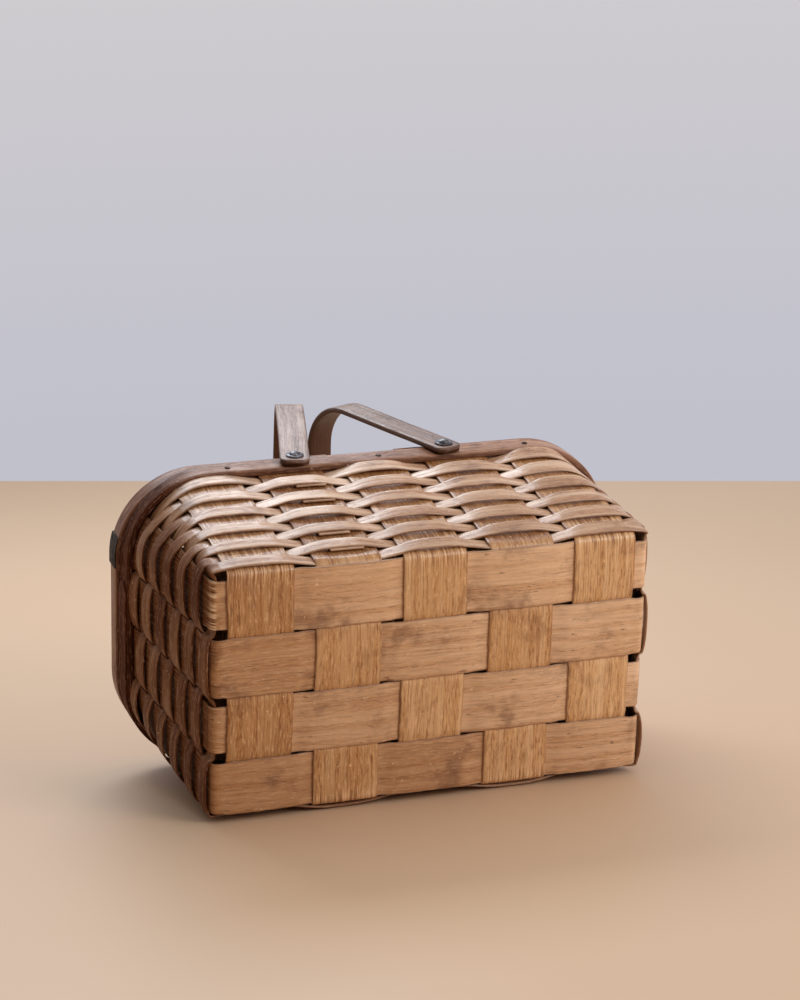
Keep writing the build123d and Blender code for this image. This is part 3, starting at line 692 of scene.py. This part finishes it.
def weaver_piece(row, tone):
    """One closed row of the walls, its lower and upper edge bulging by different amounts."""
    middle = ROW_ONE + (row - 1) * ROW_PITCH
    low_bulges, high_bulges = [], []
    for index in range(2 * HALF_ROUND):
        place = index % HALF_ROUND
        near = far = CROSS_BULGE
        if (index + row) % 2 == 1:
            if index < CROSS_COUNT:
                near, far = UPPER_BULGES[index]
            elif place in (CROSS_COUNT, HALF_ROUND - 1):
                near = far = CORNER_BULGE
            elif place > CROSS_COUNT:
                near, far = END_BULGES
        vary = rng.uniform(0.90, 1.06)
        low_bulges.append(near * vary)
        high_bulges.append(far * vary)
    low = weaver_line(row, middle - WEAVER_HEIGHT / 2, low_bulges)
    high = weaver_line(row, middle + WEAVER_HEIGHT / 2, high_bulges)
    low, high = blurred(low), blurred(high)
    normal = ring_normals(low + high)
    middle_line = (low + high) / 2
    along = length_along(middle_line)
    v, h = section(WEAVER_HEIGHT, WEAVER, 0.0004, 6)
    climb = drift(along, 0.15, 0.0005, closed=True)
    swell = 1 + drift(along, 0.06, 0.025, closed=True)
    # 1 at the four corners, 0 elsewhere
    corner_near = smooth((np.abs(middle_line[:, 0]) - 0.165) / 0.01)
    corner_near = corner_near * smooth((np.abs(middle_line[:, 1]) - 0.085) / 0.012)
    # Two rows are wider at each corner, where light would show through between them
    wide = np.where(middle_line[:, 1] < 0, row in (5, 6), row in (7, 8))
    swell = swell + np.where(wide, 0.22, 0.06) * corner_near
    share = 0.5 + v[None, :] * swell[:, None] / WEAVER_HEIGHT
    points = low[:, None, :] * (1 - share[..., None]) + high[:, None, :] * share[..., None]
    points = points + normal[:, None, :] * h[None, :, None]
    points[..., 2] += climb[:, None]
    changes = 0.35 * drift(along, 0.2, 1.0, closed=True)
    # Darker towards the left end, which lies in the shade
    changes = changes - 1.9 * smooth((-middle_line[:, 0] - 0.158) / 0.032)
    tone = (tone + changes)[:, None]
    uv, edge = outline_uv(along, v, h, closed=True), edge_share(v, WEAVER_HEIGHT, 3)
    return skin(f"weaver_{row:02d}_splint", points, uv, closed=True, tone=tone, edge=edge)


for row in range(1, ROWS + 1):
    node = f"weaver_{row:02d}"
    piece = weaver_piece(row, rng.uniform(-0.25, 0.25) + 0.07 * (row - 3))
    dress(piece, "basket", "weaver_splint", weaver_splint, node, shaded=weaver_shaded)


# Ends of weavers that lie double under a crossing


def tail_piece(row, number, start, end, low):
    """The cut end of a weaver, tucked under the crossing over a cross stake of the upper wall."""
    z = ROW_ONE + (row - 1) * ROW_PITCH - low
    half = CROSS_WIDTHS[number - 1] / 2
    along = np.linspace(start, end, 40)
    point, normal = on_wall(cross_x(number) + along * half, -1, np.array(z), True)
    rise = EDGE_OFFSET + 0.0002 + 0.3 * CROSS_BULGE * (1 - np.abs(along) ** 2.6)
    v, h = section(WEAVER_HEIGHT * 0.8, WEAVER, 0.0004, 6)
    middle = point + normal * rise[:, None]
    points = middle[:, None, :] + normal[:, None, :] * h[None, :, None]
    points[..., 2] += v[None, :]
    uv, edge = outline_uv(length_along(middle), v, h), edge_share(v, WEAVER_HEIGHT, 3)
    return skin(f"weaver_{row:02d}_tail_{number}", points, uv, tone=-0.2, edge=edge)


for row, start, end, low in (
    (10, -0.15, 0.78, 0.0035),
    (8, -0.26, 0.74, 0.0035),
    (4, -0.44, 0.50, 0.0045),
    (2, -0.42, 0.60, 0.0035),
):
    dress(tail_piece(row, 2, start, end, low), "basket", "weaver_splint", weaver_splint)


# Bent hoops of the rim


def rounded_line(length, width, radius, z, straight=24, bend=20):
    """A closed line: a rectangle with round corners, from its front right corner on."""
    line = []
    for side_x, side_y, start in ((1, -1, -90), (1, 1, 0), (-1, 1, 90), (-1, -1, 180)):
        x, y = side_x * (length - radius), side_y * (width - radius)
        line += [(*point, z) for point in arc(x, y, radius, start, start + 90, bend)]
    full = []
    for k, point in enumerate(line):
        full.append(point)
        if k % bend == bend - 1:
            following = line[(k + 1) % len(line)]
            for t in np.linspace(0, 1, straight + 2)[1:-1]:
                full.append(tuple(between(np.array(point), np.array(following), t)))
    return np.array(full)


def hoop_piece(name, offset, thickness, rounding, tone):
    """A closed wooden hoop, its middle a given offset out of the wall's middle."""
    low, high = (
        rounded_line(half_length(z) + offset, half_width(z) + offset, corner(z) + offset, z)
        for z in (RIM_LOW, RIM_TOP)
    )
    normal = ring_normals(low)
    height = RIM_TOP - RIM_LOW
    v, h = section(height, thickness, rounding, 8, 3)
    along = length_along(low)
    wave = drift(along, 0.2, 0.0003, closed=True)
    share = 0.5 + v[None, :, None] / height
    points = low[:, None, :] * (1 - share) + high[:, None, :] * share
    points = points + normal[:, None, :] * h[None, :, None]
    points[..., 2] += wave[:, None]
    changes = 0.25 * drift(along, 0.3, 1.0, closed=True)
    # Darker towards the left end, painted shade, and lighter to the right, painted light
    changes = changes - 1.5 * smooth((-low[:, 0] - 0.135) / 0.055)
    changes = changes + 1.3 * smooth((low[:, 0] - 0.02) / 0.1)
    tone = (tone + changes)[:, None]
    uv, edge = outline_uv(along, v, h, closed=True), edge_share(v, height)
    return skin(name, points, uv, closed=True, tone=tone, edge=edge)


outer_hoop = hoop_piece(
    "rim_outer_hoop_wood", HOOP_OFFSET + OUTER_HOOP / 2, OUTER_HOOP, rounding=0.0017, tone=-0.5
)
dress(outer_hoop, "basket", "bent_wood", bent_wood, "rim_outer_hoop", shaded=bent_shaded)


def lap_piece(name, start, end, tone):
    """The lapped end of the outer hoop, a thin tongue with a rounded tip on the left end."""
    share = np.concatenate([np.linspace(0, 0.06, 14), np.linspace(0.07, 1, 70)])
    place = start + (end - start) * share
    v, h = section(LAP_WIDTH, LAP, 0.0006, 8, 3)
    tip = 1 - np.clip((place - start) / 0.016, 0, 1)
    taper = np.sqrt(np.maximum(1 - tip**2, 0.0009))
    z = (RIM_LOW + RIM_TOP) / 2 - 0.0005 + v[None, :] * taper[:, None]
    point, normal = on_wall(place[:, None], -1, z, False)
    points = point + normal * (HOOP_OFFSET + OUTER_HOOP + 0.0008 + h[None, :])[..., None]
    uv = outline_uv(length_along(points[:, 0]), v, h)
    return skin(name, points, uv, tone=tone, edge=edge_share(v, LAP_WIDTH))


# The lap lies at the left end and is made much darker: painted shade
lap = lap_piece("rim_outer_lap_wood", *LAP_ENDS, tone=-1.7)
dress(lap, "basket", "bent_wood", bent_shaded)
inner_hoop = hoop_piece(
    "rim_inner_hoop_wood", -HOOP_OFFSET - INNER_HOOP / 2, INNER_HOOP, rounding=0.0012, tone=-0.6
)
dress(inner_hoop, "basket", "bent_wood", bent_wood, "rim_inner_hoop")


# Swing handles


def strap_path(reach, half, radius, tail):
    """The middle line of a strap, in its own plane, from one tail to the other."""
    path = [(half, d) for d in np.linspace(-tail, reach - radius, 60)]
    path += arc(half - radius, reach - radius, radius, 0, 90, 14)[1:]
    path += [(x, reach) for x in np.linspace(half - radius, radius - half, 40)[1:-1]]
    path += arc(radius - half, reach - radius, radius, 90, 180, 14)
    path += [(-half, d) for d in np.linspace(reach - radius, -tail, 60)[1:]]
    return np.array(path)


def strap_piece(name, side, lean, bend, tone):
    """One swing handle, which leans over the middle by an angle in degrees."""
    tilt = math.radians(lean)
    out = np.array([math.cos(tilt), 0, side * math.sin(tilt)])
    rise = np.array([-side * math.sin(tilt), 0, math.cos(tilt)])
    start = np.array([side * PIVOT_X, 0, PIVOT_Z])
    reach, half = STRAP_REACH - STRAP / 2, STRAP_INSIDE + STRAP / 2
    path = strap_path(reach, half, bend - STRAP / 2, STRAP_TAIL)
    normal = path_normals(path)
    along = length_along(path)
    v, h = section(STRAP_WIDTH, STRAP, 0.0013, 8, 3)
    end = np.minimum(along, along[-1] - along)
    narrow = 1 - np.clip(0.005 - end, 0, 0.005) / (STRAP_WIDTH / 2)
    wave = drift(along, 0.25, 0.0004) * smooth((end - 0.02) / 0.03)
    wide = v[None, :] * narrow[:, None] + wave[:, None]
    flat = path[:, None, :] + normal[:, None, :] * h[None, :, None]
    points = start + flat[..., :1] * np.array([0, 1.0, 0]) + flat[..., 1:] * rise
    points = points + wide[..., None] * out
    uv, edge = outline_uv(along, v, h), edge_share(v, STRAP_WIDTH)
    tone = tone + 0.2 * drift(along, 0.3, 1.0)[:, None]
    return skin(name, points, uv, tone=tone, edge=edge, inner=(h < 0)[None, :])


# The left strap's raised tone makes it lighter and paler: painted sheen. The right strap's lowered
# tone makes it darker
left_strap = strap_piece(
    "left_handle_strap_wood", -1, LEFT_LEAN, bend=STRAP_CORNER - 0.018, tone=0.4
)
dress(left_strap, "left_handle", "weathered_wood", strap_wood, "left_handle_strap")
right_strap = strap_piece(
    "right_handle_strap_wood", 1, RIGHT_LEAN, bend=STRAP_CORNER - 0.007, tone=-0.55
)
dress(right_strap, "right_handle", "weathered_wood", strap_wood, "right_handle_strap")


# Turned metal: washers, rivet heads and nail heads


def turned(name, profile, spots, steps=40):
    """Round pieces from a profile of (radius, height), one on each spot (point, axis)."""
    mesh = bpy.data.meshes.new(name)
    points, faces = [], []
    for middle, axis in spots:
        axis = np.asarray(axis, float) / np.linalg.norm(axis)
        side = np.cross(axis, [0.3, 0.5, 0.9])
        side /= np.linalg.norm(side)
        other = np.cross(axis, side)
        base = len(points)
        for radius, height in profile:
            for k in range(steps):
                angle = 2 * math.pi * k / steps
                spoke = side * math.cos(angle) + other * math.sin(angle)
                points.append(np.asarray(middle) + axis * height + spoke * radius)
        for ring in range(len(profile) - 1):
            for k in range(steps):
                a, b = base + ring * steps + k, base + ring * steps + (k + 1) % steps
                faces.append((a, b, b + steps, a + steps))
        faces.append(tuple(base + k for k in reversed(range(steps))))
        top = base + (len(profile) - 1) * steps
        faces.append(tuple(top + k for k in range(steps)))
    mesh.from_pydata(placed(points).tolist(), [], faces)
    mesh.polygons.foreach_set("use_smooth", np.ones(len(faces), bool))
    mesh.update()
    face_out(mesh)
    return linked(name, mesh)


def dome(radius, height, seat):
    """Profile of a domed head that stands at height seat."""
    angles = np.linspace(0.0, math.pi / 2 * 0.97, 8)
    return [(radius * math.cos(a), seat + height * math.sin(a)) for a in angles]


# Profiles of radius and height, the height measured out from the middle of the basket
washer_seat = STRAP_INSIDE + STRAP
head_seat = washer_seat + WASHER
pivots = [((x, 0, PIVOT_Z), (0, side, 0)) for x in (-PIVOT_X, PIVOT_X) for side in (-1, 1)]
washer = [
    (0.0027, washer_seat), (0.0070, washer_seat), (0.0074, washer_seat + 0.0004),
    (0.0074, washer_seat + 0.0009), (0.0070, head_seat), (0.0030, head_seat),
]
washers = turned("handle_washers_steel", washer, pivots)
dress(washers, "basket", "steel", steel, "handle_washers")
rivet = [(RIVET, 0.1094), (RIVET, 0.1108), (SHANK, 0.1108)]
rivet += [(SHANK, head_seat), (0.0041, head_seat), *dome(RIVET, 0.0022, head_seat + 0.0001)]
rivets = turned("handle_rivets_steel", rivet, pivots)
dress(rivets, "basket", "steel", steel, "handle_rivets")

nail_spots = []
for side in (-1, 1):
    for is_long, places in ((True, NAIL_XS), (False, NAIL_YS)):
        for place in places:
            point, normal = on_wall(np.array(place), side, np.array(PIVOT_Z), is_long)
            nail_spots.append((point + normal * (HOOP_OFFSET + OUTER_HOOP), normal))
# The nails' heights are measured from the face of the hoop
nail = [(0.0012, -0.004), (0.0012, -0.0002), *dome(0.0026, 0.0009, -0.0001)]
nails = turned("rim_nails_iron", nail, nail_spots, 20)
dress(nails, "basket", "iron_nails", iron, "rim_nails")


# Boards and lid flaps


def plank(name, x, low_z, high_z, length, width, rounding, tone):
    """A level board across the basket, its edges and ends rounded."""
    z, thickness = (low_z + high_z) / 2, high_z - low_z
    v, h = section(width, thickness, rounding, 10, 3)
    ends = rounding * (1 - np.cos(np.radians([15, 45, 75])))
    straight = np.linspace(rounding, length - rounding, 80)
    along = np.concatenate([[0], ends, straight, length - ends[::-1], [length]])
    near = np.clip(np.minimum(along, length - along), 0, rounding)
    inset = rounding - np.sqrt(np.maximum(rounding**2 - (rounding - near) ** 2, 0))
    v_in = v[None, :] * (1 - 2 * inset / width)[:, None]
    h_in = h[None, :] * (1 - 2 * inset / thickness)[:, None]
    y = np.broadcast_to((along - length / 2)[:, None], v_in.shape)
    points = np.stack([x + v_in, y, z - h_in], -1)
    return skin(name, points, outline_uv(along, v, h), tone=tone, edge=edge_share(v, width, 6))


def ribbon(name, path, low_z, high_z, thickness, rounding, tone):
    """An upright bent band that follows a level path, its ends square."""
    normal = path_normals(path)
    height = high_z - low_z
    v, h = section(height, thickness, rounding, 8, 3)
    along = length_along(path)
    flat = path[:, None, :] + normal[:, None, :] * h[None, :, None]
    rise = np.broadcast_to((low_z + high_z) / 2 + v, flat.shape[:2])
    points = np.concatenate([flat, rise[..., None]], -1)
    tone = tone + 0.2 * drift(along, 0.3, 1.0)[:, None]
    uv, edge = outline_uv(along, v, h), edge_share(v, height)
    return skin(name, points, uv, tone=tone, edge=edge)


def flap_path(inset, start):
    """The U-shaped line of a flap's hoop, a distance inside its outline."""
    half, end, radius = FLAP_SIDE - inset, FLAP_END - inset, FLAP_CORNER - inset
    path = [(x, -half) for x in np.linspace(start, end - radius, 50)]
    path += arc(end - radius, radius - half, radius, -90, 0, 24)[1:]
    path += [(end, y) for y in np.linspace(radius - half, half - radius, 40)[1:-1]]
    path += arc(end - radius, half - radius, radius, 0, 90, 24)
    path += [(x, half) for x in np.linspace(end - radius, start, 50)[1:]]
    return np.array(path)


def panel_splint(name, is_cross, number, tone):
    """One flat woven splint of a lid flap, trimmed to the hoop."""
    half, end, radius = FLAP_SIDE - PANEL_INSET, FLAP_END - PANEL_INSET, FLAP_CORNER - PANEL_INSET
    low, high = BOARD_TOP + STAKE / 2, BOARD_TOP + 3 * STAKE / 2
    if is_cross:
        middle, width, count = PANEL_XS[number], PANEL_X_WIDTH, len(PANEL_YS)
    else:
        middle, width, count = PANEL_YS[number], PANEL_Y_WIDTH, len(PANEL_XS)
    v, h = section(width, STAKE, 0.0005, 12)
    levels = [high if ((number + other) % 2 == 0) == is_cross else low for other in range(count)]
    share = np.linspace(0, 1, 90)[:, None]
    side = middle + v[None, :] + drift(share[:, 0], 0.6, 0.0004)[:, None]
    if is_cross:
        past = np.clip(side - (end - radius), 0, radius)
        reach = half - radius + np.sqrt(radius**2 - past**2)
        at = (2 * share - 1) * reach
        crossings = list(PANEL_YS)
    else:
        past = np.clip(np.abs(side) - (half - radius), 0, radius)
        at = between(PANEL_START, end - radius + np.sqrt(radius**2 - past**2), share)
        crossings = [2 * (BAR_END + STAKE) - PANEL_XS[0], *PANEL_XS]
        levels = [low, *levels]
    height = weave_levels(crossings, levels, 0.004, at, 0.0)
    rise = height + h[None, :]
    points = np.stack([side, at, rise] if is_cross else [at, side, rise], -1)
    uv = outline_uv(length_along(points[:, 0]), v, h)
    return skin(name, points, uv, tone=tone, edge=edge_share(v, width))


def mirrored(piece):
    """Moves a piece of the right flap to the left flap."""
    mesh = piece.data
    co = np.zeros(len(mesh.vertices) * 3)
    mesh.vertices.foreach_get("co", co)
    co[::3] = 2 * ORIGIN[0] - co[::3]
    mesh.vertices.foreach_set("co", co)
    mesh.update()
    face_out(mesh)
    return piece


board = plank(
    "middle_board_wood", 0.0, RIM_TOP, BOARD_TOP, BOARD_LENGTH, BOARD_WIDTH, 0.0022, tone=0.1
)
dress(board, "basket", "board_wood", board_wood, "middle_board")

bar_x, bar_width = (FLAP_EDGE + BAR_END) / 2, BAR_END - FLAP_EDGE
hoop_path, ledge_path = flap_path(FLAP_HOOP / 2, FLAP_EDGE), flap_path(LEDGE_INSET, BAR_END)
for side, place in (("right", lambda piece: piece), ("left", mirrored)):
    body = f"{side}_lid"
    bar = plank(
        f"{body}_bar_wood", bar_x, FLAP_LOW, BOARD_TOP, 2 * BAR_HALF, bar_width, 0.0012, tone=0.0
    )
    dress(place(bar), body, "board_wood", board_wood, f"{body}_bar")
    hoop = ribbon(f"{body}_hoop_wood", hoop_path, FLAP_LOW, FLAP_TOP, FLAP_HOOP, 0.0016, -0.6)
    dress(place(hoop), body, "bent_wood", bent_wood, f"{body}_hoop")
    ledge = ribbon(f"{body}_ledge_wood", ledge_path, FLAP_LOW, BOARD_TOP, LEDGE, 0.0006, 0.0)
    dress(place(ledge), body, "board_wood", board_wood, f"{body}_ledge")
    for number in range(len(PANEL_XS)):
        node = f"{body}_cross_splint_{number + 1}"
        strip = panel_splint(node + "_wood", True, number, rng.uniform(-0.3, 0.3))
        dress(place(strip), body, "dark_splint", dark_splint, node)
    for number in range(len(PANEL_YS)):
        node = f"{body}_long_splint_{number + 1}"
        strip = panel_splint(node + "_wood", False, number, rng.uniform(-0.2, 0.2))
        dress(place(strip), body, "base_splint", base_splint, node)

# The metal parts that are shown as packed. Every other solid is replaced above.
metals = {"clip": tin, "leaves": steel, "pins": steel, "nails": iron}
for name, node in frame["nodes"].items():
    fitting = [material for word, material in metals.items() if word in name]
    node.data.materials.clear()
    node.data.materials.append(fitting[0] if fitting else board_wood)


# Floor, light and camera


def plain(name, color, points):
    """A large flat stage piece with a faint, soft unevenness."""
    mesh = bpy.data.meshes.new(name)
    mesh.from_pydata(points, [], [(0, 1, 2, 3)])
    piece = linked(name, mesh)
    s = Shader(bpy.data.materials.new(name))
    room = s.add("TexCoord", {}).outputs["Object"]
    cloud = s.noise(room, scale=1.3, detail=2.0)
    dim = tuple(0.955 * value for value in color[:3]) + (1.0,)
    tint = s.mix(s.ramp(cloud, 0.3, 0.7), color, dim)
    s.put(s.surface.inputs["Base Color"], tint)
    s.put(s.surface.inputs["Roughness"], s.ramp(cloud, 0.3, 0.7, 0.42, 0.55))
    mesh.materials.append(s.owner)


IMAGE_WIDTH, IMAGE_HEIGHT, WALL_LINE, SENSOR = 800, 1000, 481, 36
eye = Vector((-0.7173, -2.2476, 0.6687))
yaw, tip, roll, focal = 0.3214, 0.1899, -0.026, 2907.8
view = Vector((math.sin(yaw) * math.cos(tip), math.cos(yaw) * math.cos(tip), -math.sin(tip)))
turn = view.to_track_quat("-Z", "Y").to_matrix().to_4x4() @ Matrix.Rotation(roll, 4, "Z")


def on_floor(x, y):
    """The floor's point under a pixel of the image."""
    across, above = (x - IMAGE_WIDTH / 2) / focal, (IMAGE_HEIGHT / 2 - y) / focal
    ray = turn.to_3x3() @ Vector((across, above, -1.0))
    return eye - ray * (eye.z / ray.z)


# The floor ends at the line where the photograph's wall begins, and the room is seen beyond it
left, right = on_floor(0, WALL_LINE), on_floor(IMAGE_WIDTH, WALL_LINE)
reach = (right - left) * 6
far_left, far_right = left - reach, right + reach
plain("floor", rgba(214, 180, 147), [(-9, -9, 0), (9, -9, 0), tuple(far_right), tuple(far_left)])


def softbox(name, place, target, size, power, color):
    """A large soft lamp, turned towards a point."""
    light = bpy.data.lights.new(name, "AREA")
    light.shape = "RECTANGLE"
    light.size, light.size_y = size
    light.energy = power
    light.color = color
    lamp = linked(name, light)
    lamp.location = place
    lamp.rotation_euler = (Vector(target) - Vector(place)).to_track_quat("-Z", "Y").to_euler()


softbox("back", (-0.05, 0.85, 1.08), (0, -0.05, 0.15), (0.9, 0.5), 9.5, (0.84, 0.92, 1.0))
softbox("right", (1.3, -1.9, 1.2), (0, -0.1, 0.1), (1.2, 1.2), 25.5, (1.0, 0.96, 0.91))

# The room: light from above, the right and behind, and little from the left. What is seen
# of it is a plain pale wall.
world = bpy.data.worlds.new("room")
s = Shader(world)
place = s.add("TexCoord", {}).outputs["Generated"]
toward = s.add("VectorMath", {0: place, 1: (0.45, 0.30, 0.84)}, operation="DOT_PRODUCT")
level = s.add("MapRange", {0: toward.outputs["Value"], 1: -0.03, 2: 1.0, 3: 0.01, 4: 1.12})
light = s.tree.nodes["Background"]
s.put(light.inputs["Color"], (0.90, 0.92, 0.96, 1))
s.put(light.inputs["Strength"], level.outputs[0])

# The wall seen behind is a little lighter towards the top: painted light
height = s.add("SeparateXYZ", {0: place}).outputs["Z"]
share = s.add("MapRange", {0: height, 1: -0.16, 2: -0.02}).outputs[0]
wall_color = s.mix(share, rgba(193, 193, 204), rgba(206, 203, 207))
wall = s.add("Background", {"Color": wall_color})
kinds = s.add("LightPath", {}).outputs
seen = kinds["Is Camera Ray"]
for kind in ("Is Glossy Ray", "Is Transmission Ray"):
    seen = s.math("MAXIMUM", seen, kinds[kind])
shown = s.add("MixShader", {0: seen, 1: light.outputs[0], 2: wall.outputs[0]})
s.put(s.tree.nodes["World Output"].inputs["Surface"], shown.outputs[0])
bpy.context.scene.world = world

lens = bpy.data.cameras.new("camera")
lens.sensor_width = SENSOR
lens.lens = focal * SENSOR / IMAGE_HEIGHT
lens.clip_end = 50
camera = linked("camera", lens)
camera.matrix_world = Matrix.Translation(eye) @ turn
bpy.context.scene.camera = camera
bpy.context.scene.view_settings.view_transform = "Standard"
